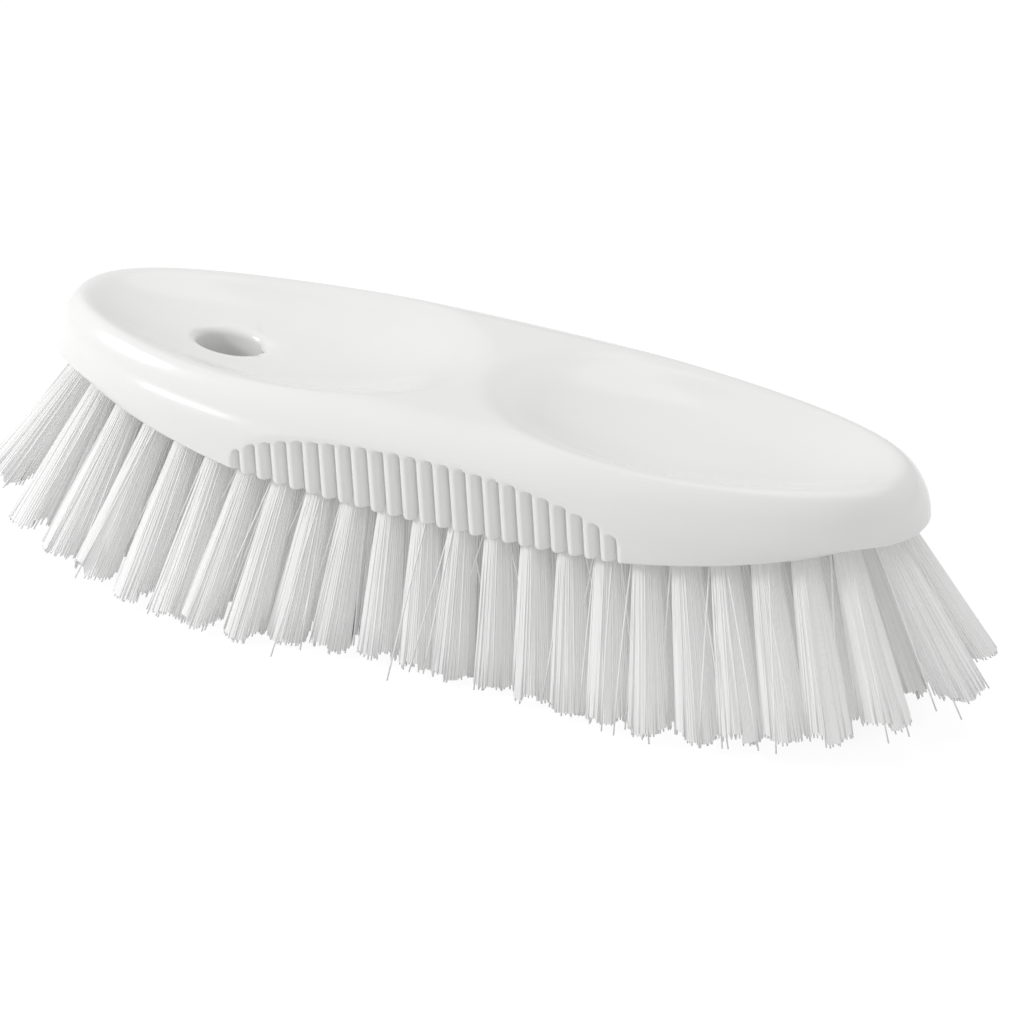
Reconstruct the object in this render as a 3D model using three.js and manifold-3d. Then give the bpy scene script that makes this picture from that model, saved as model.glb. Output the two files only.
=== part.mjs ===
// Churn brush: a moulded oval block with two dished hollows, a hanging hole and ribbed finger grips,
// filled with splayed tufts that small metal anchors hold in the block. The underside and the trim rise
// towards both ends, to reach the curved wall of a churn.
// Millimetres, +Z up, X along the brush. The middle bristle tips stand on z = 0, centred on the origin.
import * as THREE from "three";
import { mergeVertices, toCreasedNormals } from "three/addons/utils/BufferGeometryUtils.js";
import Module from "manifold-3d";

const wasm = await Module();
wasm.setup();

// Block
const BLOCK_LENGTH = 240;
const BLOCK_WIDTH = 72;
const BLOCK_THICKNESS = 27.8; // at the middle
const OUTLINE_POWER = 2.25; // 2 is an ellipse, more is squarer
const TOP_EDGE_RADIUS = 12;
const CAMBER = 14.3; // how much higher the underside is at the ends than at the middle
const CAMBER_POWER = 2.3;
const SIDE_TUCK = 0.5; // how far the wall draws in towards the underside
const END_TUCK = 3.5; // the same at the ends of the block
const FOOT_RADIUS = 0.8; // rounding where the wall meets the underside

// Dished hollows
const DISH_DEPTH = 9;
const DISH_RIM_WIDTH = 5.5;
const DISH_LAND = 13; // flat bridge between the two hollows
const DISH_TAPER = 0.13; // how much slimmer a hollow is towards the end of the block
const DISH_BOWL_POWER = 2.8; // 2 is a plain bowl, more has a flatter floor
const DISH_LIP_RADIUS = 1.5;

// Hanging hole, an ellipse
const HOLE_LENGTH = 20;
const HOLE_WIDTH = 12.8;
const HOLE_FROM_MIDDLE = 72;
const HOLE_LIP_RADIUS = 1.4;

// Ribbed finger grips: a fluted flat face cut into each long side, leaning in towards the underside
const FLUTE_COUNT = 24;
const FLUTE_PITCH = 4.55;
const FLUTE_DEPTH = 1.2;
const GRIP_WIDTH = 65; // from one flat face to the other, at the underside
const GRIP_LEAN = 0.1; // how far a face leans out for each millimetre up
const FLUTE_HEIGHT = 18.5; // at the middle of the arch that the flutes end in
const FLUTE_ARCH_POWER = 2.6;
const FLUTE_ARCH_DRAFT = 1; // how far the arch opens out towards its mouth

// Tufts
const TRIM_HEIGHT = 40; // from the underside of the block down to the bristle tips
const STAND_CUT = 0.5; // how much of the curved trim is cut level at the middle, for the brush to stand on
const TUFT_PITCH = 9.8;
const TUFT_LEAST_PITCH = 6.4; // tufts closer than this are left out
const TUFT_EDGE = 3; // from the edge of the tuft bed to the middle of the outer row
const TUFT_END_SPLAY = 22; // how far the outer row leans out at its tips, at the ends of the block
const TUFT_SIDE_SPLAY = 14; // the same at the sides of each lobe
const TUFT_WAIST_SPLAY = 8; // the same at the middle of a grip
const WAIST_REACH = 50; // from the middle of the brush to where the waist ends
const STRANDS_PER_TUFT = 3;
const STRAND_RADIUS = 0.9;
const STRAND_ROOT_SPREAD = 1.3; // from the middle of a tuft to the middle of a strand
const STRAND_TIP_SPREAD = 3;
const STRAND_ROOT_DEPTH = 1; // how deep a strand is rooted in the bed
const BED_THICKNESS = 3;
const BED_RIM_WIDTH = 5; // from the outline of the block to the tuft bed
const HOLE_TO_TUFT = 5; // bare margin round the hanging hole

// Anchors
const ANCHOR_LENGTH = 5;
const ANCHOR_HEIGHT = 2;
const ANCHOR_THICKNESS = 0.5;

// Fit and smoothness
const CLEARANCE = 0.3;
const OVERCUT = 1; // how far a cutting shape runs past the face that it cuts
const OUTLINE_POINTS = 80;
const DISH_POINTS = 48;
const HOLE_POINTS = 24;
const STRAND_SIDES = 3;
const CAMBER_STEPS = 24;
const EDGE_STEPS = 6; // round the top edge
const WALL_STEPS = 3;
const LIP_STEPS = 3;
const BOWL_STEPS = 6;
const BOWL_CROWDING = 1.3; // more than 1 draws the steps of the bowl towards its rim
const ARCH_STEPS = 28;
const FLUTE_STEPS = 4;
const ROW_SAMPLES = 200; // points that measure the length of a row of tufts

const halfLength = BLOCK_LENGTH / 2;
const halfWidth = BLOCK_WIDTH / 2;

const plastic = new THREE.MeshStandardMaterial({ color: 0xf2f2f0, roughness: 0.25, metalness: 0 });
const filament = new THREE.MeshStandardMaterial({ color: 0xeeedea, roughness: 0.4, metalness: 0 });
const steel = new THREE.MeshStandardMaterial({ color: 0xb8bbbf, roughness: 0.35, metalness: 1 });

// Solids

function solidFrom(geometry) {
  const bare = new THREE.BufferGeometry();
  bare.setAttribute("position", geometry.getAttribute("position"));
  if (geometry.index) bare.setIndex(geometry.index);
  const merged = mergeVertices(bare, 1e-4);
  return new wasm.Manifold(
    new wasm.Mesh({
      numProp: 3,
      vertProperties: new Float32Array(merged.getAttribute("position").array),
      triVerts: new Uint32Array(merged.index.array),
    }),
  );
}

function meshFrom(solid, name, material) {
  const { vertProperties, triVerts } = solid.getMesh();
  const geometry = new THREE.BufferGeometry();
  geometry.setAttribute("position", new THREE.BufferAttribute(vertProperties, 3));
  geometry.setIndex(new THREE.BufferAttribute(triVerts, 1));
  const mesh = new THREE.Mesh(toCreasedNormals(geometry, Math.PI / 6), material);
  mesh.name = name;
  return mesh;
}

// Skins a row of rings, each with the same number of points, and closes both ends.
function loft(rings) {
  const count = rings[0].length;
  const points = rings.flat();
  const triangles = [];
  for (let level = 0; level + 1 < rings.length; level++) {
    for (let i = 0; i < count; i++) {
      const a = level * count + i;
      const b = level * count + ((i + 1) % count);
      triangles.push(a, b, b + count, a, b + count, a + count);
    }
  }
  for (const [level, turn] of [[0, 1], [rings.length - 1, 0]]) {
    const first = level * count;
    if (count === 3) {
      triangles.push(first, first + 1 + turn, first + 2 - turn);
      continue;
    }
    const hub = points.length;
    const middle = new THREE.Vector3();
    rings[level].forEach((p) => middle.addScaledVector(p, 1 / count));
    points.push(middle);
    for (let i = 0; i < count; i++) {
      const rim = [first + i, first + ((i + 1) % count)];
      triangles.push(hub, rim[turn], rim[1 - turn]);
    }
  }
  const geometry = new THREE.BufferGeometry().setFromPoints(points);
  geometry.setIndex(triangles);
  return solidFrom(geometry);
}

function prism(outline, bottom, top) {
  const geometry = new THREE.ExtrudeGeometry(new THREE.Shape(outline), {
    depth: top - bottom,
    bevelEnabled: false,
  });
  return solidFrom(geometry.translate(0, 0, bottom));
}

// Outlines

const signedPower = (value, power) => Math.sign(value) * Math.abs(value) ** power;

// How high the underside is at x, over its height at the middle.
const camberAt = (x) => CAMBER * Math.abs(x / halfLength) ** CAMBER_POWER;

// A point of the block's oval, drawn in by inset and at its ends by endTuck more, at an angle from +X.
function ovalPoint(angle, inset, z = 0, endTuck = 0) {
  const x = (halfLength - inset - endTuck) * signedPower(Math.cos(angle), 2 / OUTLINE_POWER);
  const y = (halfWidth - inset) * signedPower(Math.sin(angle), 2 / OUTLINE_POWER);
  return new THREE.Vector3(x, y, z);
}

function ring(point, count = OUTLINE_POINTS) {
  return Array.from({ length: count }, (_, i) => point((2 * Math.PI * i) / count));
}

const ovalRing = (inset, z, endTuck) => ring((angle) => ovalPoint(angle, inset, z, endTuck));

// Half the block's width at x, on the oval drawn in by inset.
function halfWidthAt(x, inset) {
  const along = Math.abs(x / (halfLength - inset)) ** OUTLINE_POWER;
  return (halfWidth - inset) * (1 - along) ** (1 / OUTLINE_POWER);
}

function holeRing(growth, z) {
  return ring((angle) => {
    const x = (HOLE_LENGTH / 2 + growth) * Math.cos(angle) - HOLE_FROM_MIDDLE;
    return new THREE.Vector3(x, (HOLE_WIDTH / 2 + growth) * Math.sin(angle), z);
  }, HOLE_POINTS);
}

// Block, its hollows and its cuts

const shoulder = BLOCK_THICKNESS - TOP_EDGE_RADIUS;

// All that lies under the cambered underside, or under the same surface raised by lift.
function underSpace(lift) {
  const reach = halfLength + OVERCUT;
  const curve = Array.from({ length: CAMBER_STEPS + 1 }, (_, i) => {
    const x = reach * ((2 * i) / CAMBER_STEPS - 1);
    return new THREE.Vector2(x, camberAt(x) + lift);
  });
  const low = -BLOCK_THICKNESS;
  const outline = [new THREE.Vector2(-reach, low), new THREE.Vector2(reach, low), ...curve.reverse()];
  return prism(outline, -BLOCK_WIDTH, BLOCK_WIDTH).rotate([90, 0, 0]);
}

// A ring of the wall; rise is 0 at the underside and 1 at the shoulder.
function wallRing(rise, inset) {
  const tuck = (1 - rise) ** 2;
  return ring((angle) => {
    const point = ovalPoint(angle, SIDE_TUCK * tuck + inset, 0, (END_TUCK - SIDE_TUCK) * tuck);
    point.z = THREE.MathUtils.lerp(camberAt(point.x), shoulder, rise);
    return point;
  });
}

function blankBlock() {
  const rings = [ovalRing(SIDE_TUCK + FOOT_RADIUS, -OVERCUT, END_TUCK - SIDE_TUCK), wallRing(0, FOOT_RADIUS)];
  const footRise = FOOT_RADIUS / shoulder;
  for (let step = 0; step <= WALL_STEPS; step++) {
    rings.push(wallRing(footRise + (1 - footRise) * (step / WALL_STEPS), 0));
  }
  for (let step = 1; step <= EDGE_STEPS; step++) {
    const angle = (Math.PI / 2) * (step / EDGE_STEPS);
    const inset = TOP_EDGE_RADIUS * (1 - Math.cos(angle));
    rings.push(ovalRing(inset, shoulder + TOP_EDGE_RADIUS * Math.sin(angle)));
  }
  return loft(rings).subtract(underSpace(0));
}

const dishLength = halfLength - DISH_RIM_WIDTH - DISH_LAND / 2;
const dishMiddle = DISH_LAND / 2 + dishLength / 2;
const dishHalfWidth = halfWidthAt(dishMiddle, DISH_RIM_WIDTH);

// An egg-shaped ring of the hollow on the side given by sign; scale 1 is its rim.
function dishRing(sign, scale, growth, z) {
  return ring((angle) => {
    const along = Math.cos(angle);
    const across = Math.sin(angle) * (1 - DISH_TAPER * along);
    const x = dishMiddle + (dishLength / 2 * scale + growth) * along;
    return new THREE.Vector3(sign * x, sign * (dishHalfWidth * scale + growth) * across, z);
  }, DISH_POINTS);
}

function dish(sign) {
  const top = BLOCK_THICKNESS;
  const rings = [dishRing(sign, 1, DISH_LIP_RADIUS, top + OVERCUT)];
  for (let step = 0; step < LIP_STEPS; step++) {
    const angle = (Math.PI / 4) * (step / LIP_STEPS);
    const drop = DISH_LIP_RADIUS * (1 - Math.cos(angle));
    rings.push(dishRing(sign, 1, DISH_LIP_RADIUS * (1 - Math.sin(angle)), top - drop));
  }
  const lipDrop = DISH_LIP_RADIUS * (1 - Math.SQRT1_2);
  for (let step = 0; step < BOWL_STEPS; step++) {
    const scale = 1 - (step / BOWL_STEPS) ** BOWL_CROWDING;
    const bowl = (DISH_DEPTH - lipDrop) * (1 - scale ** DISH_BOWL_POWER);
    rings.push(dishRing(sign, scale, 0, top - lipDrop - bowl));
  }
  return loft(rings.reverse());
}

function hole() {
  const floor = BLOCK_THICKNESS - DISH_DEPTH;
  const rings = [holeRing(0, -OVERCUT)];
  for (let step = 0; step <= LIP_STEPS; step++) {
    const angle = (Math.PI / 2) * (step / LIP_STEPS);
    const growth = HOLE_LIP_RADIUS * (1 - Math.cos(angle));
    rings.push(holeRing(growth, floor - HOLE_LIP_RADIUS * (1 - Math.sin(angle))));
  }
  rings.push(holeRing(HOLE_LIP_RADIUS, BLOCK_THICKNESS + OVERCUT));
  return loft(rings);
}

const flutesEnd = (FLUTE_COUNT * FLUTE_PITCH) / 2;

// The space outside one flat grip face, or outside flutes of the given depth that are cut into that face.
function gripSpace(side, depth) {
  const face = GRIP_WIDTH / 2;
  const edge = [];
  for (let step = 0; step <= FLUTE_COUNT * FLUTE_STEPS; step++) {
    const x = -flutesEnd + (step * FLUTE_PITCH) / FLUTE_STEPS;
    const acrossFlute = ((step % FLUTE_STEPS) / FLUTE_STEPS) * 2 - 1;
    edge.push([x, face - depth * (1 - acrossFlute ** 2)]);
  }
  const outside = [BLOCK_LENGTH, -BLOCK_LENGTH].map((x) => [x, BLOCK_WIDTH]);
  const outline = [...edge, [BLOCK_LENGTH, face], ...outside, [-BLOCK_LENGTH, face]];
  const points = outline.map(([x, y]) => new THREE.Vector2(x, side * y));
  const lean = new THREE.Matrix4().makeShear(0, 0, 0, 0, 0, side * GRIP_LEAN);
  return prism(points, -OVERCUT, BLOCK_THICKNESS).transform(lean.elements);
}

// The arch that the flutes end in, seen from the side of the brush, at a distance y from the middle.
function archRing(y, growth) {
  const reach = flutesEnd + growth;
  const rise = FLUTE_HEIGHT + growth;
  const points = Array.from({ length: ARCH_STEPS + 1 }, (_, i) => {
    const angle = (Math.PI * i) / ARCH_STEPS;
    const x = reach * signedPower(Math.cos(angle), 2 / FLUTE_ARCH_POWER);
    return new THREE.Vector3(x, y, rise * Math.sin(angle) ** (2 / FLUTE_ARCH_POWER));
  });
  points.push(new THREE.Vector3(-reach, y, -OVERCUT), new THREE.Vector3(reach, y, -OVERCUT));
  return points;
}

function grip(side) {
  const behind = GRIP_WIDTH / 2 - FLUTE_DEPTH - OVERCUT;
  const rings = [archRing(side * behind, 0), archRing(side * (halfWidth + OVERCUT), FLUTE_ARCH_DRAFT)];
  const arch = loft(side > 0 ? rings.reverse() : rings);
  return arch.intersect(gripSpace(side, FLUTE_DEPTH)).add(gripSpace(side, 0));
}

// Tuft rows

const outerInset = BED_RIM_WIDTH + CLEARANCE + TUFT_EDGE;
const rowCount = Math.round((halfWidth - outerInset) / TUFT_PITCH);
const rowSpacing = (halfWidth - outerInset) / rowCount;

const rowPoint = (angle, inset) => ovalPoint(angle, inset, 0, END_TUCK);

// Places along one quarter of the oval drawn in by inset, evenly spaced, as angles from +X.
function quarterAngles(inset) {
  const angleAt = (i) => (Math.PI / 2) * (i / ROW_SAMPLES);
  const lengths = [0];
  for (let i = 1; i <= ROW_SAMPLES; i++) {
    const step = rowPoint(angleAt(i), inset).distanceTo(rowPoint(angleAt(i - 1), inset));
    lengths.push(lengths[i - 1] + step);
  }
  const total = lengths[ROW_SAMPLES];
  const count = Math.max(1, Math.round(total / TUFT_PITCH));
  return Array.from({ length: count }, (_, i) => {
    const along = (total * (i + 0.5)) / count;
    const upper = lengths.findIndex((length) => length >= along);
    const share = (along - lengths[upper - 1]) / (lengths[upper] - lengths[upper - 1]);
    return angleAt(upper - 1 + share);
  });
}

// Whether a tuft would stand in the hanging hole or in its bare margin.
function meetsHole(root) {
  const along = (root.x + HOLE_FROM_MIDDLE) / (HOLE_LENGTH / 2 + HOLE_TO_TUFT);
  return Math.hypot(along, root.y / (HOLE_WIDTH / 2 + HOLE_TO_TUFT)) < 1;
}

// Roots of all tufts: ovals that follow the edge of the block, then a straight row along the middle.
function tuftRoots() {
  const places = [];
  for (let row = 0; row < rowCount; row++) {
    const inset = outerInset + row * rowSpacing;
    for (const angle of quarterAngles(inset)) {
      const { x, y } = rowPoint(angle, inset);
      places.push([row, x, y], [row, -x, y], [row, -x, -y], [row, x, -y]);
    }
  }
  const innerEnd = halfLength - END_TUCK - outerInset - rowCount * rowSpacing;
  for (let x = TUFT_PITCH / 2; x < innerEnd; x += TUFT_PITCH) {
    places.push([rowCount, x, 0], [rowCount, -x, 0]);
  }
  const kept = [];
  for (const [row, x, y] of places) {
    const root = new THREE.Vector3(x, y, 0);
    const crowded = kept.some((other) => other.root.distanceTo(root) < TUFT_LEAST_PITCH);
    if (!crowded && !meetsHole(root)) kept.push({ row, root });
  }
  return kept;
}

const tufts = tuftRoots();

// Where the tips of a tuft gather: the trim fans out, less so at its waist, and follows the camber.
function tuftTip(root) {
  const towardsLobe = Math.min(Math.abs(root.x) / WAIST_REACH, 1) ** 2;
  const splay = THREE.MathUtils.lerp(TUFT_WAIST_SPLAY, TUFT_SIDE_SPLAY, towardsLobe);
  const x = root.x * (1 + TUFT_END_SPLAY / (halfLength - END_TUCK - outerInset));
  const y = root.y * (1 + splay / (halfWidth - outerInset));
  return new THREE.Vector3(x, y, Math.max(camberAt(root.x) - STAND_CUT, 0) - TRIM_HEIGHT);
}

// A strand on one side of its tuft, from inside the bed to its flat-cut tip.
function strand(root, turn) {
  const aside = new THREE.Vector3(Math.cos(turn), Math.sin(turn), 0);
  const start = root.clone().addScaledVector(aside, STRAND_ROOT_SPREAD);
  start.z = camberAt(root.x);
  const end = tuftTip(root).addScaledVector(aside, STRAND_TIP_SPREAD);
  const buried = start.clone().lerp(end, -STRAND_ROOT_DEPTH / TRIM_HEIGHT);
  const section = (middle) =>
    ring((angle) => {
      const corner = new THREE.Vector3(Math.cos(angle + turn), Math.sin(angle + turn), 0);
      return corner.multiplyScalar(STRAND_RADIUS).add(middle);
    }, STRAND_SIDES);
  return loft([section(end), section(buried)]);
}

// The recess that the tuft bed lies in, or the bed itself, which is smaller all round by clearance.
function bedSpace(clearance) {
  const inset = BED_RIM_WIDTH + clearance;
  const shaft = loft([ovalRing(inset, -OVERCUT, END_TUCK), ovalRing(inset, BLOCK_THICKNESS, END_TUCK)]);
  return shaft.intersect(underSpace(BED_THICKNESS - clearance));
}

// The slice of the block that half of the tufts stand in.
function bed(sign) {
  const near = (sign * CLEARANCE) / 2;
  const far = sign * BLOCK_LENGTH;
  const corners = [[near, -BLOCK_WIDTH], [far, -BLOCK_WIDTH], [far, BLOCK_WIDTH], [near, BLOCK_WIDTH]];
  const half = prism(corners.map(([x, y]) => new THREE.Vector2(x, y)), -OVERCUT, BLOCK_THICKNESS);
  return bedSpace(CLEARANCE).intersect(half).subtract(underSpace(0)).subtract(hole());
}

function tuftHalf(sign) {
  const solids = [bed(sign)];
  for (const { root } of tufts) {
    if (root.x * sign < 0) continue;
    const outward = Math.atan2(root.y, root.x);
    for (let i = 0; i < STRANDS_PER_TUFT; i++) {
      solids.push(strand(root, outward + (2 * Math.PI * i) / STRANDS_PER_TUFT));
    }
  }
  return wasm.Manifold.union(solids);
}

// Anchors: one for each tuft of the outer row, standing over the bed across the fold of the tuft.

const anchorRoots = tufts.filter(({ row }) => row === 0).map(({ root }) => root);

const anchorPlace = ({ x, y }) => [x, y, camberAt(x) + BED_THICKNESS + ANCHOR_HEIGHT / 2];

function anchorBox(clearance) {
  return new THREE.BoxGeometry(
    ANCHOR_THICKNESS + 2 * clearance,
    ANCHOR_LENGTH + 2 * clearance,
    ANCHOR_HEIGHT + 2 * clearance,
  );
}

const anchorPocket = (root) => solidFrom(anchorBox(CLEARANCE).translate(...anchorPlace(root)));

function anchor(root, index) {
  const mesh = new THREE.Mesh(anchorBox(0), steel);
  mesh.name = `anchor_${String(index + 1).padStart(2, "0")}`;
  mesh.position.set(...anchorPlace(root));
  return mesh;
}

// Assembly

function block() {
  const cuts = [dish(-1), dish(1), hole(), grip(-1), grip(1), bedSpace(0), ...anchorRoots.map(anchorPocket)];
  return blankBlock().subtract(wasm.Manifold.union(cuts));
}

const head = new THREE.Group();
head.position.z = TRIM_HEIGHT;
head.add(meshFrom(block(), "block", plastic));
head.add(meshFrom(tuftHalf(-1), "tufts_left", filament));
head.add(meshFrom(tuftHalf(1), "tufts_right", filament));
anchorRoots.forEach((root, index) => head.add(anchor(root, index)));

const brush = new THREE.Group();
brush.add(head);

export default brush;
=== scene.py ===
# %% [markdown]
# # A churn brush
# A churn brush scrubs the curved inside of a milk churn. A white plastic block carries rows of stiff bristle tufts,
# and both its underside and its trim rise towards the ends, to reach that curved wall.
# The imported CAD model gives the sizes. Here it gets its finished surfaces, its bristles, its light and its camera.

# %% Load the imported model
from math import cos, pi, radians, sin

import bmesh
import bpy
import numpy as np
from mathutils import Matrix, Vector


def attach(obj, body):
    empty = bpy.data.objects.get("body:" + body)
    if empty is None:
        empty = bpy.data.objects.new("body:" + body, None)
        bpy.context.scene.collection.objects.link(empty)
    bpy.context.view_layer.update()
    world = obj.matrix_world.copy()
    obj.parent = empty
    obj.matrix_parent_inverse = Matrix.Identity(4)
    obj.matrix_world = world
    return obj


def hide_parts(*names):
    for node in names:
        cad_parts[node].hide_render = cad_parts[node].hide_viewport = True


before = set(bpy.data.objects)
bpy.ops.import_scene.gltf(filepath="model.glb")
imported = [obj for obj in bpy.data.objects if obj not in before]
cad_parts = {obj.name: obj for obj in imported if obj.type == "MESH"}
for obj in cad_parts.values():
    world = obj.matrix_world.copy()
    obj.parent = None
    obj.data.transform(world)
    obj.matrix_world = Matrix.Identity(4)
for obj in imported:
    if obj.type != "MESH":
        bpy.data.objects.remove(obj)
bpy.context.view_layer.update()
MM = 0.001

# %% [markdown]
# ## Camera
# The photograph looks down on the brush from the front, a little from its right end, through a long lens, so
# parallel edges hardly converge. A camera could be placed by eye, but two angles and a distance are easier to adjust:
# the camera stands that far back from the heart of the brush, then turns a little so that the brush lies in the upper
# half of the frame, as it does in the picture.

# %% Camera
LENS, ROLL = 352.4, radians(-0.46)
AIM_ACROSS, AIM_UP = 6.3, -13.1  # millimetres from the heart of the brush to the middle of the picture

heart = Vector((0, 0, 0.0423))
azimuth, elevation, distance = radians(27.1), radians(29.0), 2.5
back = Vector((sin(azimuth) * cos(elevation), -cos(azimuth) * cos(elevation), sin(elevation)))
across = Vector((cos(azimuth), sin(azimuth), 0))
up = back.cross(across)

lens = bpy.data.cameras.new("photo_lens")
lens.sensor_width = 36
lens.lens = LENS
camera = bpy.data.objects.new("photo_camera", lens)
bpy.context.collection.objects.link(camera)
camera.location = heart + distance * back
aim = heart + AIM_ACROSS * MM * across + AIM_UP * MM * up
turn = (aim - camera.location).to_track_quat("-Z", "Y").to_matrix() @ Matrix.Rotation(ROLL, 3, "Z")
camera.rotation_euler = turn.to_euler()
bpy.context.scene.camera = camera
print("camera at", [round(v, 3) for v in camera.location])

# %% [markdown]
# ## Shader wires
# A material is a graph of nodes. Written node by node, even a short sum takes many lines, so one small class wraps a
# socket and lets Python's own operators add the Math nodes: `0.2 + 0.1 * grain` reads as it computes. Any other node
# comes from `node`, which takes the settings first and then the values or links of its sockets.


# %% Shader wires
class Wire:
    """A node's output socket that takes part in Python sums."""

    def __init__(self, tree, socket):
        self.tree = tree
        self.socket = socket

    def _math(self, operation, first, second):
        return node(self.tree, "ShaderNodeMath", {"operation": operation}, {0: first, 1: second})

    def __add__(self, other):
        return self._math("ADD", self, other)

    __radd__ = __add__

    def __mul__(self, other):
        return self._math("MULTIPLY", self, other)

    __rmul__ = __mul__


def node(tree, kind, settings, sockets, output=0):
    """Adds a node: its settings first, then a value or a wire for each socket."""
    made = tree.nodes.new(kind)
    for name, value in settings.items():
        setattr(made, name, value)
    for name, value in sockets.items():
        if isinstance(value, Wire):
            tree.links.new(value.socket, made.inputs[name])
        else:
            made.inputs[name].default_value = value
    return Wire(tree, made.outputs[output])


def new_material(name):
    material = bpy.data.materials.new(name)
    material.use_nodes = True
    material.node_tree.nodes.clear()
    return material, material.node_tree


def show(tree, surface):
    node_output = tree.nodes.new("ShaderNodeOutputMaterial")
    tree.links.new(surface.socket, node_output.inputs["Surface"])


def noise(tree, place, scale, detail=2.0, roughness=0.5):
    sockets = {"Vector": place, "Scale": scale, "Detail": detail, "Roughness": roughness}
    return node(tree, "ShaderNodeTexNoise", {}, sockets)


def blend(tree, share, first, second):
    """A colour between two others."""
    return node(tree, "ShaderNodeMix", {"data_type": "RGBA"}, {0: share, 6: first, 7: second}, output=2)


print("shader helpers ready")

# %% [markdown]
# ## Floor, world and light
# The picture has a pure white background. More light would wash the brush out, so the white comes from the floor and
# the world instead: they glow white for rays that come straight from the camera, the floor also for reflections, and
# they stay plain for the light that falls on the brush. The floor keeps part of its ordinary surface, so a faint
# shadow still shows.
# Three softboxes light the brush. The key lamp stands at the left, as the lit left side of each rib shows, and a wide
# lamp overhead lights the hollows. A small one just above the floor draws the bright streak on the left shoulder. The
# world fills in the rest.

# %% Floor
FLOOR_GLOW, GLOW_STRENGTH = 0.8, 1.1  # the share of the floor that glows white for the camera, and how strongly

floor_finish, tree = new_material("white_floor")
light_path = tree.nodes.new("ShaderNodeLightPath")
seen = Wire(tree, light_path.outputs["Is Camera Ray"]) + Wire(tree, light_path.outputs["Is Glossy Ray"])
paper = noise(tree, Wire(tree, tree.nodes.new("ShaderNodeTexCoord").outputs["Object"]), 3.0)
paper_white = blend(tree, paper, (0.78, 0.78, 0.78, 1), (0.82, 0.82, 0.82, 1))
plain = node(tree, "ShaderNodeBsdfDiffuse", {}, {"Color": paper_white})
glow = node(tree, "ShaderNodeEmission", {}, {"Color": (1, 1, 1, 1), "Strength": GLOW_STRENGTH})
show(tree, node(tree, "ShaderNodeMixShader", {}, {0: FLOOR_GLOW * seen, 1: plain, 2: glow}))

floor_shape = bmesh.new()
bmesh.ops.create_grid(floor_shape, x_segments=8, y_segments=8, size=6.0)
floor_mesh = bpy.data.meshes.new("floor")
floor_shape.to_mesh(floor_mesh)
floor_shape.free()
floor = bpy.data.objects.new("floor", floor_mesh)
floor_mesh.materials.append(floor_finish)
bpy.context.collection.objects.link(floor)
print("floor glows by", FLOOR_GLOW)

# %% World and lamps
AMBIENT = 0.61  # the strength of the world for the light that falls on the brush

world = bpy.data.worlds.new("white_room")
bpy.context.scene.world = world
world.use_nodes = True
tree = world.node_tree
tree.nodes.clear()
light_path = tree.nodes.new("ShaderNodeLightPath")
seen = Wire(tree, light_path.outputs["Is Camera Ray"]) + Wire(tree, light_path.outputs["Is Transmission Ray"])
strength = AMBIENT + (1 - AMBIENT) * seen
sky = node(tree, "ShaderNodeBackground", {}, {"Color": (1, 1, 1, 1), "Strength": strength})
tree.links.new(sky.socket, tree.nodes.new("ShaderNodeOutputWorld").inputs["Surface"])


def softbox(name, place, target, width, height, watts):
    """A rectangular lamp that faces its target and stays out of sight of the camera."""
    lamp = bpy.data.lights.new(name, "AREA")
    lamp.shape = "RECTANGLE"
    lamp.size = width
    lamp.size_y = height
    lamp.energy = watts
    lamp_object = bpy.data.objects.new(name, lamp)
    lamp_object.location = place
    lamp_object.rotation_euler = (Vector(target) - Vector(place)).to_track_quat("-Z", "Y").to_euler()
    lamp_object.visible_camera = False
    bpy.context.collection.objects.link(lamp_object)


BRUSH, LEFT_SHOULDER = (0, 0, 0.05), (-0.085, -0.03, 0.056)
softbox("key_lamp", (-1.25, -0.62, 0.72), BRUSH, 0.3, 0.3, 8.2)
softbox("low_lamp", (-0.34, -0.3, 0.02), LEFT_SHOULDER, 0.11, 0.035, 0.1)
softbox("top_lamp", (0.35, 0.2, 1.7), BRUSH, 1.5, 1.5, 7.6)
bpy.context.scene.view_settings.view_transform = "Standard"
print("three softboxes and a world of strength", AMBIENT)

# %% [markdown]
# ## Block: sizes
# The block is one moulding: an oval in plan, with a large round top edge, two dished hollows, a hanging hole, and a
# flat, ribbed grip cut into each long side. Its underside is cambered. Cutting these out of a solid with booleans
# would leave hard edges and uneven shading, while the real moulding flows from one form into the next. So the block
# is drawn as a stack of oval rings, and soft minimum functions say how far in or down each ring runs.

# %% Block sizes, in millimetres
TRIM_HEIGHT = 40.0  # from the bristle tips up to the underside of the block, at the middle
HALF_LENGTH, HALF_WIDTH, THICKNESS = 120.0, 36.0, 27.8
OVAL_POWER = 2.25
TOP_ROUND, TOP_RISE = 12.0, 15.5  # how far in and how far up the round top edge runs
SHOULDER = THICKNESS - TOP_RISE
CAMBER, CAMBER_POWER = 14.3, 2.3
SIDE_TUCK, END_TUCK, FOOT_ROUND = 0.5, 3.5, 0.8
SEAM_HALF_LENGTH = 100.0  # the rings of the top and of the underside close on this line
SMOOTH_ANGLE = radians(38)  # edges that turn more than this stay sharp
TINY = 1e-6  # keeps a division away from zero

DISH_DEPTH, DISH_RIM, DISH_LAND, DISH_TAPER, DISH_BOWL = 9.0, 5.5, 13.0, 0.13, 2.8
DISH_LIP, DISH_BEVEL = 0.8, 1.2  # softness of the lip, and the height taken off its corner
DISH_END_LIPS = {-1: 1.6, 1: 3.5}  # softness at the outer end of the left and of the right hollow
HOLE_MIDDLE, HOLE_HALF_LENGTH, HOLE_HALF_WIDTH, HOLE_LIP = -72.0, 9.2, 5.6, 2.2

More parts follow.
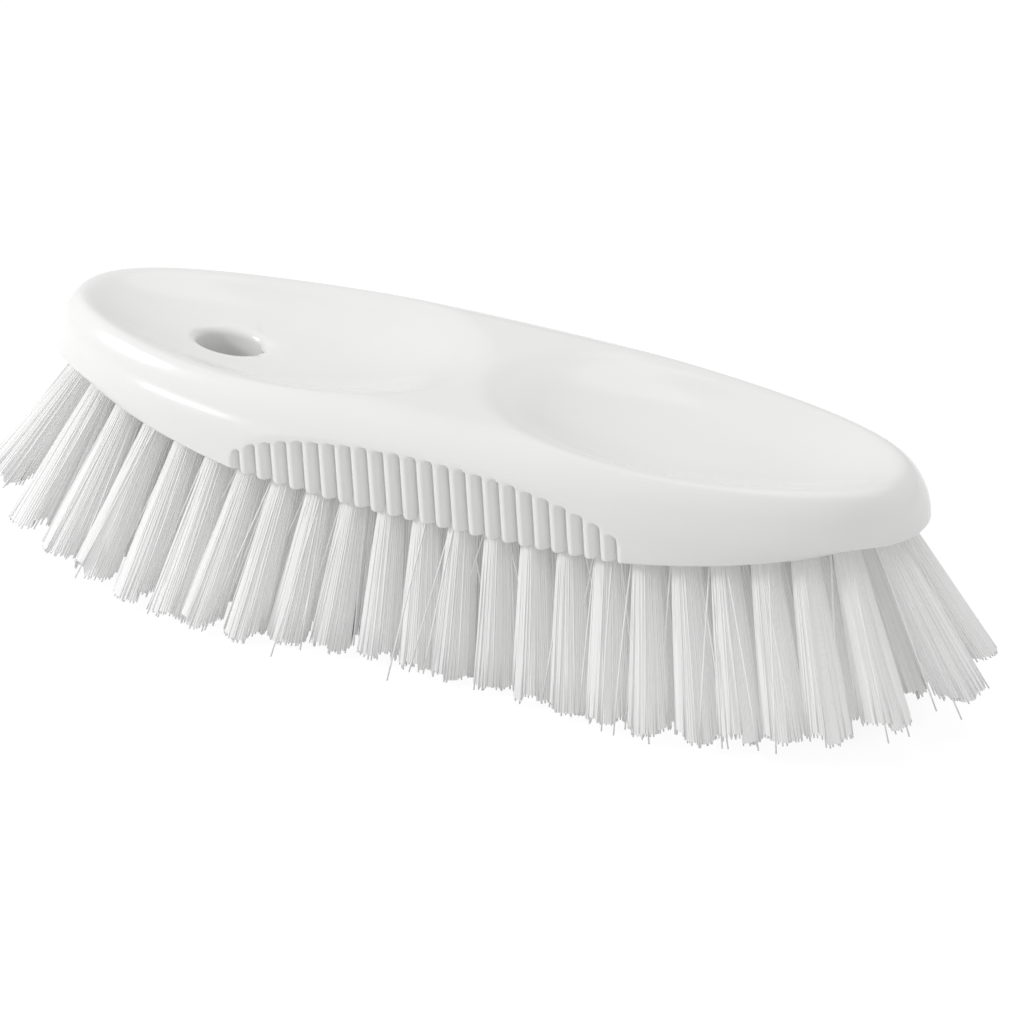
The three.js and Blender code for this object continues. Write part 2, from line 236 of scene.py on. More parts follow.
RIB_COUNT, RIB_PITCH, RIB_SHIFT, GROOVE_DEPTH = 24, 4.55, -1.0, 2.3
GRIP_HALF_WIDTH, GRIP_LEAN, GRIP_EDGE, GRIP_FOOT = 32.5, 0.1, 0.2, 0.3
ARCH_REACH, ARCH_HEIGHT, ARCH_POWER, GROOVE_END_ROUND = 58.0, 19.0, 2.2, 1.8


def soft_min(first, second, softness):
    """The lower of two heights, with the corner between them rounded."""
    near = np.clip(softness - np.abs(first - second), 0, None) / softness
    return np.minimum(first, second) - near * near * softness / 4


def oval_side(share):
    """Half the oval's width, where share is the place along its half length."""
    return np.clip(1 - np.abs(share) ** OVAL_POWER, 0, None) ** (1 / OVAL_POWER)


def camber(x):
    """How far the underside has risen at a place along the brush."""
    return CAMBER * np.abs(x / HALF_LENGTH) ** CAMBER_POWER


print("underside rises", CAMBER, "mm towards the ends")

# %% [markdown]
# ### Hollows, hole and grip as formulas
# Each hollow is a bowl with an egg-shaped rim, slimmer towards the end of the block. The bowl's height is known over
# the whole top, also outside its rim where it runs up above it, so the lower of bowl and top gives the hollow. The
# softness of that minimum rounds its lip, and a third height between the two bevels it. The grip works in the same
# way sideways: a flat face that leans out a little limits how far the wall may bulge, and sharp grooves cut into that
# face up to an arch leave half-round ribs.

# %% Hollows, hole and grip
TAPER_ROUNDS = 5  # how often the reach in a hollow is worked out again from its own taper

dish_half_length = (HALF_LENGTH - DISH_RIM - DISH_LAND / 2) / 2
dish_middle = DISH_LAND / 2 + dish_half_length
dish_half_width = (HALF_WIDTH - DISH_RIM) * oval_side(dish_middle / (HALF_LENGTH - DISH_RIM))


def bowl_height(x, y, sign):
    """The height of one hollow's bowl, also outside its rim."""
    along = (sign * x - dish_middle) / dish_half_length
    aside = y / dish_half_width
    reach = np.hypot(along, aside)
    for _ in range(TAPER_ROUNDS):
        reach = np.hypot(along, aside / (1 - DISH_TAPER * along / np.maximum(reach, TINY)))
    return THICKNESS - DISH_DEPTH * (1 - reach ** DISH_BOWL)


def hole_distance(x, y):
    """Roughly how far a point lies outside the elliptical hole."""
    along, aside = (x - HOLE_MIDDLE) / HOLE_HALF_LENGTH, y / HOLE_HALF_WIDTH
    reach = np.hypot(along, aside)
    slope = np.hypot(along / HOLE_HALF_LENGTH, aside / HOLE_HALF_WIDTH) / np.maximum(reach, TINY)
    return (reach - 1) / np.maximum(slope, TINY)


def top_height(x, y, inset):
    """The height of the top: its round edge, lowered by the hollows and by the lip of the hole."""
    short_of_top = 1 - np.clip(inset, 0, TOP_ROUND) / TOP_ROUND
    height = SHOULDER + TOP_RISE * np.sqrt(1 - short_of_top**2)
    for sign in (-1, 1):
        bowl = bowl_height(x, y, sign)
        towards_end = np.clip((sign * x - dish_middle) / dish_half_length, 0, 1) ** 2
        softness = DISH_LIP + (DISH_END_LIPS[sign] - DISH_LIP) * towards_end
        bevel = (height + bowl) / 2 - DISH_BEVEL * (1 - towards_end)
        height = soft_min(soft_min(height, bevel, softness), bowl, softness)
    lip = np.clip(HOLE_LIP - hole_distance(x, y), 0, HOLE_LIP)
    return height - (HOLE_LIP - np.sqrt(HOLE_LIP**2 - lip**2))


def grip_limit(x, z):
    """How far out from the middle the ribbed face of a grip lies."""
    share = np.abs(x / ARCH_REACH) ** ARCH_POWER
    arch = ARCH_HEIGHT * np.clip(1 - share, 0, None) ** (1 / ARCH_POWER)
    from_groove = np.abs(2 * np.mod((x - RIB_SHIFT) / RIB_PITCH, 1) - 1)
    round_top = GROOVE_END_ROUND * (1 - np.sqrt(1 - from_groove**2))
    below = np.clip((arch - round_top - z) / GROOVE_END_ROUND, 0, 1)
    groove = GROOVE_DEPTH * (1 - from_groove) ** 2 * np.sqrt(1 - (1 - below) ** 2)
    groove = np.where(np.abs(x - RIB_SHIFT) < RIB_COUNT * RIB_PITCH / 2, groove, 0)
    return GRIP_HALF_WIDTH + GRIP_LEAN * z - groove


print("hollows", round(2 * dish_half_length, 1), "x", round(2 * dish_half_width, 1), "mm")

# %% [markdown]
# ### Columns
# Every ring has the same number of points, so the points of all rings line up in columns. A rib needs eight columns,
# the plain ends need few, and the hanging hole needs its own: the rings of the top close on a seam along the middle,
# and where the hole is, that seam stays open in the outline of the hole. Columns are given as shares of half the
# length of a ring.

# %% Columns
RIB_COLUMNS, GRIP_MARGIN = 8, 16  # columns in a rib, and columns as close beyond each end of the ribs
END_COLUMNS, END_CROWDING = 34, 2.2  # columns of a half, and how they crowd towards its end
END_CLEAR, HOLE_CLEAR, GRIP_CLEAR = 0.004, 0.003, 0.002  # the least steps between columns of different kinds
HOLE_STEP, HOLE_GAPS = 5, (0.1, 0.3, 0.6, 1.0, 1.5)  # degrees round the hole, and millimetres beyond its ends

grip_reach = RIB_COUNT * RIB_COLUMNS // 2 + GRIP_MARGIN
columns = [(i * RIB_PITCH / RIB_COLUMNS + RIB_SHIFT) / HALF_LENGTH for i in range(-grip_reach, grip_reach + 1)]
hole = [HOLE_MIDDLE - HOLE_HALF_LENGTH * cos(t) for t in np.radians(np.arange(0, 180.1, HOLE_STEP))]
hole += [HOLE_MIDDLE + side * (HOLE_HALF_LENGTH + gap) for side in (-1, 1) for gap in HOLE_GAPS]
hole = [x / SEAM_HALF_LENGTH for x in hole]
ends = [1 - (i / END_COLUMNS) ** END_CROWDING for i in range(END_COLUMNS + 1)]
ends = [e for e in ends if e > max(columns) + END_CLEAR]
left_ends = [-e for e in ends if not min(hole) - HOLE_CLEAR < -e < max(hole) + HOLE_CLEAR]
left_ends = [e for e in left_ends if e < min(columns) - END_CLEAR]
hole = [h for h in hole if h < min(columns) - GRIP_CLEAR]
share = np.array(sorted(set(columns) | set(hole) | set(ends) | set(left_ends), reverse=True))
print(len(share), "columns on each side, hole from", round(min(hole), 3), "to", round(max(hole), 3))

# %% [markdown]
# ### Rings
# The first ring lies on the seam of the underside. Extruding its edges gives the next ring, which is then moved to
# its place, and so on over the underside, round the foot, up the wall, over the round top edge and in to the seam on
# top. The two sides of each seam are merged, and the open stretches of both seams are bridged to make the hanging
# hole.

# %% Ring formulas
GRIP_SHARE = 0.5  # the grip ends within this share of the half length

side_of = np.concatenate([np.ones(len(share)), -np.ones(len(share) - 2)])
share_of = np.concatenate([share, share[-2:0:-1]])
oval_of = oval_side(share_of) * side_of
seam_x = SEAM_HALF_LENGTH * share_of
along_hole = np.clip((seam_x - HOLE_MIDDLE) / HOLE_HALF_LENGTH, -1, 1)
seam_y = side_of * HOLE_HALF_WIDTH * np.sqrt(1 - along_hole**2)
seam_y[np.abs(along_hole) > 1 - TINY] = 0


def gripped(x, y, z, inset=0.0):
    """Draws the points of a wall in to the grip faces, and in by inset more."""
    face = grip_limit(x, z)
    limited = soft_min(np.abs(y), face, GRIP_EDGE)
    foot = np.where(np.abs(y) > face, GRIP_FOOT, 1) * inset
    return np.sign(y) * np.clip(limited - foot * np.abs(oval_of) ** 0.5, 0, None)


def ring_x(inset):
    """Places along a ring. Between the ends of the grip they stay put, so that the grooves run straight."""
    beyond_grip = np.clip((np.abs(share_of) - GRIP_SHARE) / (1 - GRIP_SHARE), 0, 1)
    return HALF_LENGTH * share_of - inset * np.sign(share_of) * beyond_grip**2


def wall_ring(rise, foot=0.0):
    """A ring of the wall, at a share of the way from the underside up to the shoulder."""
    tuck = (1 - rise) ** 2
    end_inset = END_TUCK * tuck + foot
    x = ring_x(end_inset)
    z = camber(x) + (SHOULDER - camber(x)) * rise
    y = side_of * (HALF_WIDTH - SIDE_TUCK * tuck) * oval_side(x / (HALF_LENGTH - end_inset))
    return np.stack([x, gripped(x, y, z, foot), z], 1)


def round_ring(angle):
    """A ring of the round top edge."""
    inset = TOP_ROUND * (1 - cos(angle))
    x = ring_x(inset)
    y = side_of * (HALF_WIDTH - inset) * oval_side(x / (HALF_LENGTH - inset))
    y = gripped(x, y, np.full_like(x, SHOULDER + TOP_RISE * sin(angle)))
    return np.stack([x, y, top_height(x, y, inset)], 1)


def inward_ring(edge, way):
    """Where a ring lies in plan, at a share of the way in from an edge to the seam."""
    return np.stack([edge[:, 0] + (seam_x - edge[:, 0]) * way, edge[:, 1] + (seam_y - edge[:, 1]) * way], 1)


print("a ring has", len(share_of), "points")

# %% Ring places
UNDERSIDE_WAYS = (1, 0.985, 0.95, 0.8, 0.6, 0.4, 0.22, 0.1, 0.03)
TOP_WAYS = np.concatenate([np.linspace(0, 0.9, 36)[1:], (0.925, 0.948, 0.967, 0.982, 0.993, 1)])
FOOT_ANGLES = np.radians((25, 55))
ROUND_ANGLES = np.radians(np.concatenate([np.arange(1.3, 20, 1.3), np.arange(22, 90.1, 2.5)]))
WALL_RINGS = 22

foot_edge = wall_ring(0, FOOT_ROUND)
places = []
for way in UNDERSIDE_WAYS:
    flat = inward_ring(foot_edge, way)
    places.append(np.column_stack([flat, camber(flat[:, 0])]))
places.append(foot_edge)
foot_rise = FOOT_ROUND / SHOULDER
for angle in FOOT_ANGLES:
    places.append(wall_ring(foot_rise * (1 - cos(angle)), FOOT_ROUND * (1 - sin(angle))))
places += [wall_ring(rise) for rise in np.linspace(foot_rise, 1, WALL_RINGS)]
places += [round_ring(angle) for angle in ROUND_ANGLES]
top_edge = places[-1]
for way in TOP_WAYS:
    flat = inward_ring(top_edge, way)
    places.append(np.column_stack([flat, top_height(flat[:, 0], flat[:, 1], TOP_ROUND)]))
print(len(places), "rings")

# %% Build the block from its rings
MERGE_WITHIN = 1e-6  # in metres

shape = bmesh.new()


def settle(ring, place):
    """Moves the vertices of a ring to their places, from millimetres over the underside to metres."""
    for vertex, (x, y, z) in zip(ring, place):
        vertex.co = (x * MM, y * MM, (z + TRIM_HEIGHT) * MM)


def next_ring(ring):
    """Extrudes a closed ring of vertices and gives the new ring in the same order."""
    edges = [shape.edges.get((ring[i - 1], ring[i])) for i in range(len(ring))]
    made = bmesh.ops.extrude_edge_only(shape, edges=edges)["geom"]
    fresh = {v for v in made if isinstance(v, bmesh.types.BMVert)}
    return [next(e.other_vert(v) for e in v.link_edges if e.other_vert(v) in fresh) for v in ring]


ring = bmesh.ops.create_circle(shape, segments=len(share_of), radius=1.0)["verts"]
seam_points = list(ring)
settle(ring, places[0])
for place in places[1:]:
    ring = next_ring(ring)
    settle(ring, place)
bmesh.ops.remove_doubles(shape, verts=seam_points + ring, dist=MERGE_WITHIN)
open_edges = [e for e in shape.edges if e.is_boundary]
print(len(open_edges), "open edges round the hanging hole")
bmesh.ops.bridge_loops(shape, edges=open_edges)
bmesh.ops.recalc_face_normals(shape, faces=shape.faces)
for face in shape.faces:
    face.smooth = True
for edge in shape.edges:
    edge.smooth = edge.calc_face_angle(0) < SMOOTH_ANGLE

block_mesh = bpy.data.meshes.new("block_moulding")
shape.to_mesh(block_mesh)
shape.free()
block = bpy.data.objects.new("block_moulding", block_mesh)
bpy.context.collection.objects.link(block)
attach(block, "root")
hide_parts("block")
print("block:", len(block_mesh.polygons), "faces")

# %% [markdown]
# ## Plastic finish
# The block is a hard, glossy white plastic. Up close such a moulding is never quite even: the surface ripples a
# little where it cooled, its gloss varies over a few millimetres, and its white drifts by a shade. Three noises at
# those scales give the bump, the roughness and the colour.

# %% Plastic
plastic, tree = new_material("white_moulded_plastic")
where = Wire(tree, tree.nodes.new("ShaderNodeTexCoord").outputs["Object"])
drift = noise(tree, where, 18.0, 3.0)
sheen = noise(tree, where, 260.0, 4.0, 0.6)
ripple = noise(tree, where, 900.0, 2.0)
white = blend(tree, drift, (0.84, 0.84, 0.832, 1), (0.885, 0.885, 0.88, 1))
bump = node(tree, "ShaderNodeBump", {}, {"Strength": 0.05, "Distance": 0.0002, "Height": ripple})
surface = node(
    tree,
    "ShaderNodeBsdfPrincipled",
    {},
    {"Base Color": white, "Roughness": 0.12 + 0.1 * sheen, "Normal": bump, "IOR": 1.5},
)
show(tree, surface)
block_mesh.materials.append(plastic)
print("plastic on", block.name)

# %% [markdown]
# ## Tufts: where they stand
# The tuft holes run in ovals that follow the edge of the block, about ten millimetres apart, with one straight row
# along the middle. The rows are like those of the CAD model, but the two outer ones are turned a little along their
# ovals, as in the picture, and the second and third stand a little further out, so that they show in the gaps. Holes
# that would crowd others or break into the hanging hole are left out.

# %% Tuft places
TUFT_PITCH, TUFT_LEAST_PITCH, TUFT_INSET = 9.8, 6.4, 8.3
ROW_INSETS, ROW_SHIFTS = (TUFT_INSET, 15.8, 25.0), (2.6, 2.6, 0.0)
HOLE_MARGIN = 5.0


def oval_row(inset, shift):
    """Evenly spaced points round an oval row, as many in each quarter, moved along the row by shift."""
    angles = np.linspace(0, 2 * pi, 1601)  # fine enough to measure along
    bend = 2 / OVAL_POWER
    x = (HALF_LENGTH - END_TUCK - inset) * np.sign(np.cos(angles)) * np.abs(np.cos(angles)) ** bend
    y = (HALF_WIDTH - inset) * np.sign(np.sin(angles)) * np.abs(np.sin(angles)) ** bend
    run = np.concatenate([[0], np.cumsum(np.hypot(np.diff(x), np.diff(y)))])
    count = 4 * max(1, round(run[-1] / 4 / TUFT_PITCH))
    stops = run[-1] * (np.arange(count) + 0.5) / count + shift
    return zip(np.interp(stops % run[-1], run, x), np.interp(stops % run[-1], run, y))


wanted = []
for row, (inset, shift) in enumerate(zip(ROW_INSETS, ROW_SHIFTS)):
    wanted += [(row, x, y) for x, y in oval_row(inset, shift)]
for x in np.arange(TUFT_PITCH / 2, HALF_LENGTH - END_TUCK - HALF_WIDTH, TUFT_PITCH):
    wanted += [(len(ROW_INSETS), x, 0.0), (len(ROW_INSETS), -x, 0.0)]
tufts = []
for row, x, y in wanted:
    crowded = any(np.hypot(x - other[1], y - other[2]) < TUFT_LEAST_PITCH for other in tufts)
    along, aside = (x - HOLE_MIDDLE) / (HOLE_HALF_LENGTH + HOLE_MARGIN), y / (HOLE_HALF_WIDTH + HOLE_MARGIN)
    if not crowded and np.hypot(along, aside) > 1:
        tufts.append((row, x, y))
print(len(tufts), "tufts,", sum(row == 0 for row, _, _ in tufts), "of them in the outer row")

# %% [markdown]
# ## One bundle of filaments
# A tuft is a bundle of plastic filaments, each half a millimetre thick. Hair particles would look right in a render,
# but the brush must be a plain mesh. So a bundle is made once: small pentagons in a ring and in the disc within it,
# all drawn out at the same time by extruding each face on its own. Every tuft is then a copy of the bundle whose
# points are bent and spread to its own lean. The rows within show less, so theirs has fewer filaments.

# %% Bundle
FILAMENT_STEPS, FILAMENT_SIDES, UNIT_RADIUS = 4, 5, 0.01
RIM_REACH, WITHIN_REACH = 0.95, 0.85  # how far out the ring of filaments and those within it lie
GOLDEN_TURN = 2.39996  # from one filament to the next, so that those within lie evenly in the disc


def bundle_mesh(name, rim, within):
    """A straight bundle of unit length and radius, and the disc places of its filaments."""
    bundle = bmesh.new()
    turns = np.concatenate([np.arange(rim) * 2 * pi / rim, np.arange(within) * GOLDEN_TURN])
    reach = np.concatenate([np.full(rim, RIM_REACH), WITHIN_REACH * np.sqrt((np.arange(within) + 0.5) / within)])
    spots = reach[:, None] * np.stack([np.cos(turns), np.sin(turns)], 1)
    for spot_x, spot_y in spots:
        spot = Matrix.Translation((spot_x, spot_y, 0))
        bmesh.ops.create_circle(bundle, cap_ends=True, segments=FILAMENT_SIDES, radius=UNIT_RADIUS, matrix=spot)
    faces = list(bundle.faces)
    for _ in range(FILAMENT_STEPS):
        faces = bmesh.ops.extrude_discrete_faces(bundle, faces=faces)["faces"]
        tops = list({v for f in faces for v in f.verts})
        bmesh.ops.translate(bundle, verts=tops, vec=(0, 0, 1 / FILAMENT_STEPS))
    bmesh.ops.holes_fill(bundle, edges=[e for e in bundle.edges if e.is_boundary], sides=FILAMENT_SIDES)
    bmesh.ops.recalc_face_normals(bundle, faces=bundle.faces)
    for face in bundle.faces:
        face.smooth = True
    mesh = bpy.data.meshes.new(name)
    bundle.to_mesh(mesh)
    bundle.free()
    return mesh, spots


full_bundle = bundle_mesh("full_bundle", rim=54, within=30)
lean_bundle = bundle_mesh("lean_bundle", rim=36, within=18)
print("a filament has", len(full_bundle[0].polygons) // len(full_bundle[1]), "faces")

# %% [markdown]
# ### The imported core
# Real filaments stand so close that nothing shows between them. To fill a tuft with as many would cost far too many
# faces, so a ridged cone stands for the filaments inside: each ridge is one that lies packed between its neighbours,
# and the ring of free filaments is half sunk in it. It is made straight, too, and bent with its bundle.

# %% Core
CORE_RIDGES, RIDGE_SIDES = 54, 4  # filaments that show round the core, and sides to each
CAP_INSET, CAP_SINK = 0.25, 0.06  # the end of the core is a shallow dish

core_shape = bmesh.new()
bmesh.ops.create_cone(core_shape, cap_ends=True, segments=RIDGE_SIDES * CORE_RIDGES, radius1=1, radius2=1, depth=1)
bmesh.ops.translate(core_shape, verts=core_shape.verts, vec=(0, 0, 0.5))
cap = [face for face in core_shape.faces if face.normal.z > 0.9]
bmesh.ops.inset_region(core_shape, faces=cap, thickness=CAP_INSET, depth=-CAP_SINK)
for face in core_shape.faces:
    face.smooth = True
for edge in core_shape.edges:
    edge.smooth = edge.calc_face_angle(0) < SMOOTH_ANGLE
core_mesh = bpy.data.meshes.new("core")
core_shape.to_mesh(core_mesh)
core_shape.free()
print("the core has", len(core_mesh.polygons), "faces")

# %% [markdown]
# ## The ends of a tuft
# The tufts lean out, most at the ends of the brush and least beside the grips, by amounts fitted to the picture. The
# trim follows the camber of the block, level at the middle so that the brush can stand. No tuft is cut quite like the
# next: its tips gather in clumps of slightly different length. All such chance is drawn from one seeded random
# generator, so the brush is the same each time.

# %% Ends of a tuft
ALONG_SPLAY, END_SPLAY, END_SPLAY_POWER = 0.152, 7.0, 24  # the lean along the brush, and more at the very ends
SIDE_SPLAY, WAIST_SPLAY, WAIST_REACH, END_WIDTH = 14.6, 6.0, 50.0, 12.0  # the lean to the side
STAND_CUT, TRIM_DROP, TRIM_REACH = 0.5, 2.2, 40.0  # cut level at the middle, and how much longer beyond this reach
LEFT_TRIM, RIGHT_TRIM, END_TRIM_POWER = 6.0, 1.5, 6  # cut shorter at the very ends
ROOT_DEPTH, TIP_RADIUS = 2.0, 5.5  # how deep in the block a tuft starts, and its radius at the tips
END_FLARE, END_FLARE_POWER = 1.5, 4  # wider at the very ends
CLUMPS, CLUMP_CUT, TIP_DRIFT, TRIM_DRIFT = 9, 1.5, 0.6, 0.5  # clumps in a tuft, and chance in millimetres
# the rows within get a far lower tone, which paints them greyer: painted shade between the tufts
OUTER_TONE, INNER_PAINTED_SHADE_TONE, TONE_SPREAD = 0.85, 0.3, 0.25  # more is whiter

END_ROW = HALF_LENGTH - END_TUCK - TUFT_INSET
chance = np.random.default_rng(7)


def tuft_tip(x, y):
    """Where the tip of a tuft lies in plan."""
    towards_lobe = np.minimum(np.abs(x) / WAIST_REACH, 1) ** 2
    splay = WAIST_SPLAY + (SIDE_SPLAY - WAIST_SPLAY) * towards_lobe
    row_width = (HALF_WIDTH - TUFT_INSET) * oval_side(np.minimum(np.abs(x) / END_ROW, 1))
    tip_x = x * (1 + ALONG_SPLAY) + np.sign(x) * END_SPLAY * (np.abs(x) / END_ROW) ** END_SPLAY_POWER
    return np.array([tip_x, y + splay * y / np.maximum(row_width, END_WIDTH)])


def trim_height(x):
    """The height of the tips over the underside at its middle, so below zero."""
    longer = TRIM_DROP * np.minimum(np.abs(x) / TRIM_REACH, 1) ** 2
    shorter = (LEFT_TRIM if x < 0 else RIGHT_TRIM) * np.abs(x / END_ROW) ** END_TRIM_POWER
    return np.clip(camber(x) - STAND_CUT - longer, 0, None) + shorter - TRIM_HEIGHT


def new_tuft(row, x, y):
    """What the filaments of one tuft share: its ends, its turn, and the cut of each clump of tips."""
    return {
        "root": np.array([x, y]),
        "tip": tuft_tip(x, y) + chance.normal(0, TIP_DRIFT, 2),
        "tip_radius": TIP_RADIUS + END_FLARE * (np.abs(x) / HALF_LENGTH) ** END_FLARE_POWER,
        "tip_z": trim_height(x) + abs(chance.normal(0, TRIM_DRIFT)),
        "root_z": camber(x) + ROOT_DEPTH,
        "tone_and_shade": INNER_PAINTED_SHADE_TONE if row else OUTER_TONE,
        "turn": chance.uniform(0, 2 * pi),
        "cut": np.abs(chance.normal(0, CLUMP_CUT, CLUMPS)),
    }


print("tufts lean to the side by up to", SIDE_SPLAY, "mm")

# %% [markdown]
# ## Bending a bundle
# Real filaments were bent in the box and the machine, so each one bows a little, its tip lies a little off, and a few
# stray well out of their tuft. A Curve modifier could bend a whole bundle, but not each filament in its own way, so
# the points of the straight bundle are moved by formula: across from the root to the tip, and down to the trim.

# %% Bend a bundle
ROOT_RADIUS, FILAMENT_RADIUS, TIP_THINNING = 3.2, 0.27, 0.2
GATHER, TURN_DRIFT = 0.05, 0.03  # how far tips draw together in clumps, and the chance in it, in radians
TIP_SPREAD, BOW, RAGGED = 0.15, 0.1, 0.8  # chance in the place of a tip, in the bow and in the length, in millimetres
STRAY_SHARE, STRAY_REACH = 0.08, 3.6  # how many filaments stray, and how far
CORE_RIDGE, CORE_STAND, CORE_SHORT = 0.022, 0.02, 1.1  # the ridges as a share of its radius, then millimetres


def round_tuft(around, tuft):
    """Directions round a tuft, with the tuft's own turn."""
    return np.stack([np.cos(around + tuft["turn"]), np.sin(around + tuft["turn"])], 1)


def part_of(around, parts):
    """Which of so many equal parts of the round a direction falls in."""
    return np.round(around / (2 * pi) * parts).astype(int) % parts


def bend_bundle(straight, spots, tuft):
    """Points of one tuft's filaments in millimetres, and the run and tone, with painted shade, of each."""
    count = len(spots)
    which = np.argmin(((straight[:, None, :2] - spots[None]) ** 2).sum(2), 1)
    corner = (straight[:, :2] - spots[which]) / UNIT_RADIUS * FILAMENT_RADIUS
    run = straight[:, 2]
    reach, around = np.hypot(*spots.T)[:, None], np.arctan2(spots[:, 1], spots[:, 0])
    gathered = around + GATHER * np.sin(CLUMPS * around) + chance.normal(0, TURN_DRIFT, count)
    root = tuft["root"] + ROOT_RADIUS * reach * round_tuft(around, tuft)
    spread = tuft["tip_radius"] * reach * round_tuft(gathered, tuft)
    tip = tuft["tip"] + spread + chance.normal(0, TIP_SPREAD, (count, 2))
    stray = chance.random(count) < STRAY_SHARE
    tip[stray] += chance.normal(0, STRAY_REACH, (stray.sum(), 2))
    tip_z = tuft["tip_z"] + tuft["cut"][part_of(around, CLUMPS)] + np.abs(chance.normal(0, RAGGED, count))
    bow = chance.normal(0, BOW, (count, 2))
    t = run[:, None]
    path = root[which] + (tip - root)[which] * t + bow[which] * 4 * t * (1 - t)
    z = tuft["root_z"] + (tip_z - tuft["root_z"])[which] * run
    tone_and_shade = tuft["tone_and_shade"] + TONE_SPREAD * chance.random(count)[which]
    return np.column_stack([path + corner * (1 - TIP_THINNING * t), z + TRIM_HEIGHT]), run, tone_and_shade


def bend_core(straight, tuft):
    """The same for the core of a tuft, which ends a little short of its filaments."""
    run = straight[:, 2]
    t = run[:, None]
    reach, around = np.hypot(straight[:, 0], straight[:, 1])[:, None], np.arctan2(straight[:, 1], straight[:, 0])
    ridge = 1 + CORE_RIDGE * np.cos(CORE_RIDGES * around)[:, None]
    radius = RIM_REACH * (ROOT_RADIUS + (tuft["tip_radius"] - ROOT_RADIUS) * t) * ridge + CORE_STAND
    path = tuft["root"] + (tuft["tip"] - tuft["root"]) * t + radius * reach * round_tuft(around, tuft)
    end_z = tuft["tip_z"] + tuft["cut"][part_of(around, CLUMPS)] + CORE_SHORT
    z = tuft["root_z"] + (end_z - tuft["root_z"]) * run
    tone_and_shade = tuft["tone_and_shade"] + TONE_SPREAD * chance.random(CORE_RIDGES)[part_of(around, CORE_RIDGES)]
    return np.column_stack([path, z + TRIM_HEIGHT]), run, tone_and_shade


print("a tuft is", 2 * ROOT_RADIUS, "mm wide at its root and", 2 * TIP_RADIUS, "at its tips")

# %% [markdown]
# ## Filling the block
# The tufts of a half are joined in one piece for the outer row and one for the rows within, because a piece stays
# under two hundred thousand triangles. On the real brush light also passes through the filaments, which a solid mesh
# would stop. A translucent material could pass it on, but it is simpler to let diffuse rays past the outer row: that
# is a setting of the objects, and the material stays plain.


# %% Join tufts in a piece
def mesh_points(mesh):
    """The places of a mesh's vertices."""
    flat = np.empty(len(mesh.vertices) * 3)
    mesh.vertices.foreach_get("co", flat)
    return flat.reshape(-1, 3)


def filament_piece(name, chosen, bundle):
    """One object with the bent bundles and cores of the chosen tufts, and two attributes for their material."""
    bundle_shape, spots = bundle
    bundle_points, core_points = mesh_points(bundle_shape), mesh_points(core_mesh)
    piece = bmesh.new()
    runs, tones_and_shades = [], []
    for row, x, y in chosen:
        tuft = new_tuft(row, x, y)
        bent_bundle, bent_core = bend_bundle(bundle_points, spots, tuft), bend_core(core_points, tuft)
        for shape, (points, run, tone_and_shade) in ((bundle_shape, bent_bundle), (core_mesh, bent_core)):
            bent = shape.copy()
            bent.vertices.foreach_set("co", (points * MM).ravel())
            piece.from_mesh(bent)
            bpy.data.meshes.remove(bent)
            runs.append(run)
            tones_and_shades.append(tone_and_shade)
    whole = bpy.data.meshes.new(name)
    piece.to_mesh(whole)
    piece.free()
    for label, values in (("filament_run", runs), ("filament_tone_and_shade", tones_and_shades)):
        layer = whole.attributes.new(label, "FLOAT", "POINT")
        layer.data.foreach_set("value", np.concatenate(values))
    made = bpy.data.objects.new(name, whole)
    bpy.context.collection.objects.link(made)
    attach(made, "root")
    print(name, len(chosen), "tufts,", sum(len(p.vertices) - 2 for p in whole.polygons), "triangles")
    return made


print("a full tuft has", len(full_bundle[1]), "filaments and a core, a lean one", len(lean_bundle[1]))

# %% Fill both halves
filament_pieces = []
for half, sign in (("left", -1), ("right", 1)):
    outer = [tuft for tuft in tufts if tuft[0] == 0 and tuft[1] * sign > 0]
    inner = [tuft for tuft in tufts if tuft[0] > 0 and tuft[1] * sign > 0]
    for label, chosen, bundle in (("outer", outer, full_bundle), ("inner", inner, lean_bundle)):
        piece = filament_piece(f"filaments_{half}_{label}", chosen, bundle)
        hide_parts(f"tufts_{half}")
        piece.visible_diffuse = label == "inner"
        filament_pieces.append(piece)
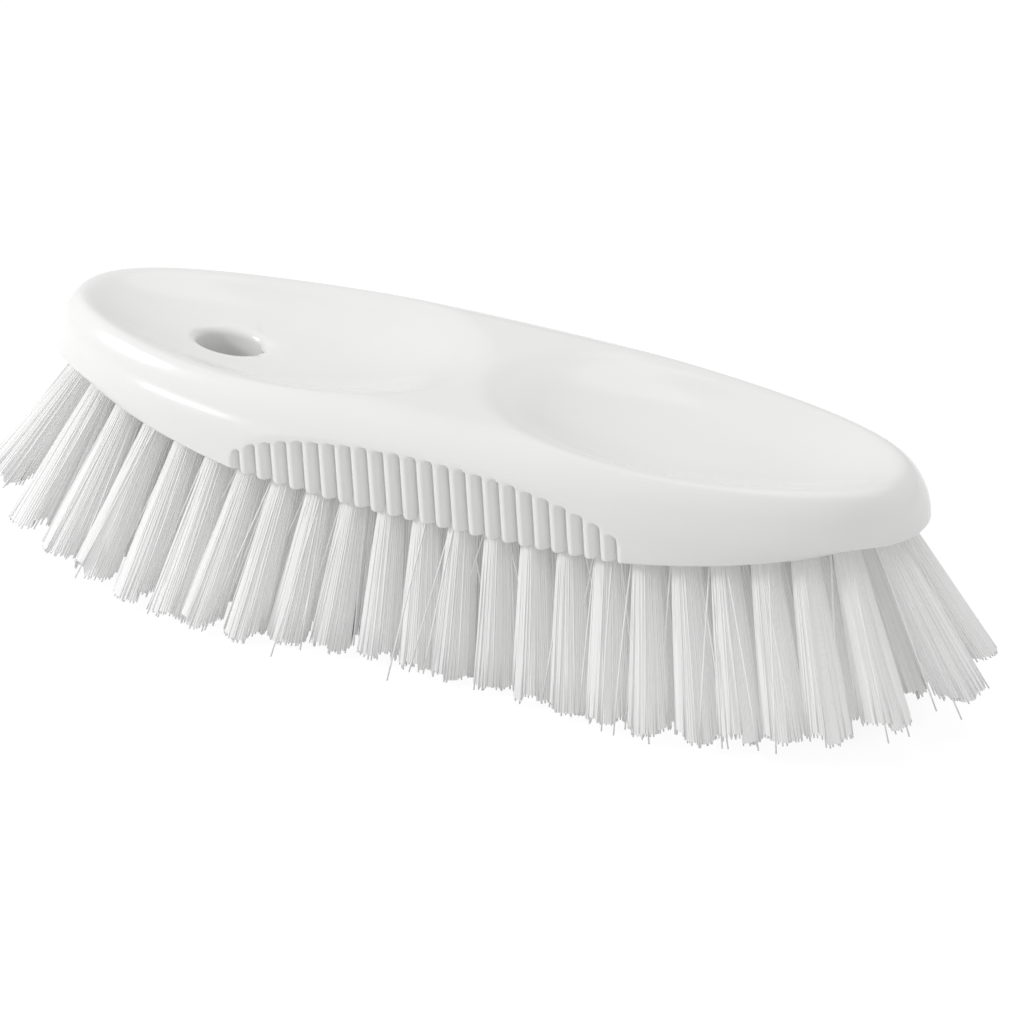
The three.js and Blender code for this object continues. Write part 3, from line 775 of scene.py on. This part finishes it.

# %% [markdown]
# ## Filament finish
# The filaments are a white plastic with a satin gloss. No two are quite the same shade. The rows within are painted
# a little greyer, as painted shade between the tufts, and the roots are painted darker than the cut tips, as painted
# shade under the block. Each point carries the tone of its filament, with that painted shade, and how far along it
# lies, and the material reads both. A sheen stands for the light that filaments scatter where they are seen edge on.

# %% Filament
filament, tree = new_material("white_filament")
tone_and_shade = node(tree, "ShaderNodeAttribute", {"attribute_name": "filament_tone_and_shade"}, {}, output=2)
run = node(tree, "ShaderNodeAttribute", {"attribute_name": "filament_run"}, {}, output=2)
where = Wire(tree, tree.nodes.new("ShaderNodeTexCoord").outputs["Object"])
fleck = noise(tree, where, 700.0, 2.0)
# painted shade: the run darkens the roots, under the block, and the low tone greys the rows within
shade = 0.8 * tone_and_shade + 0.1 * run + 0.1 * fleck
colour = blend(tree, shade, (0.7, 0.7, 0.69, 1), (0.98, 0.98, 0.975, 1))
surface = node(
    tree,
    "ShaderNodeBsdfPrincipled",
    {},
    {
        "Base Color": colour,
        "Roughness": 0.3 + 0.15 * fleck,
        "IOR": 1.5,
        "Sheen Weight": 1.0,
        "Sheen Roughness": 0.6,
    },
)
show(tree, surface)
for piece in filament_pieces:
    piece.data.materials.append(filament)
print("filament finish on", len(filament_pieces), "pieces")

# %% [markdown]
# ## Anchors
# Inside the block a small flat plate holds the fold of each tuft. The CAD plates have the right shape, so they stay
# and only get their metal: bright cut strip with fine rolling lines along its length.

# %% Anchors
steel, tree = new_material("rolled_strip")
where = Wire(tree, tree.nodes.new("ShaderNodeTexCoord").outputs["Object"])
lengthwise = node(tree, "ShaderNodeMapping", {}, {"Vector": where, "Scale": (4000, 150, 4000)})
lines = noise(tree, lengthwise, 1.0, 3.0)
metal = blend(tree, lines, (0.62, 0.63, 0.65, 1), (0.78, 0.79, 0.80, 1))
bump = node(tree, "ShaderNodeBump", {}, {"Strength": 0.1, "Distance": 0.00005, "Height": lines})
surface = node(
    tree,
    "ShaderNodeBsdfPrincipled",
    {},
    {"Base Color": metal, "Metallic": 1.0, "Roughness": 0.25 + 0.2 * lines, "Normal": bump},
)
show(tree, surface)
anchors = [item for name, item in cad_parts.items() if name.startswith("anchor_")]
for item in anchors:
    item.data.materials.clear()
    item.data.materials.append(steel)
print(len(anchors), "anchors")
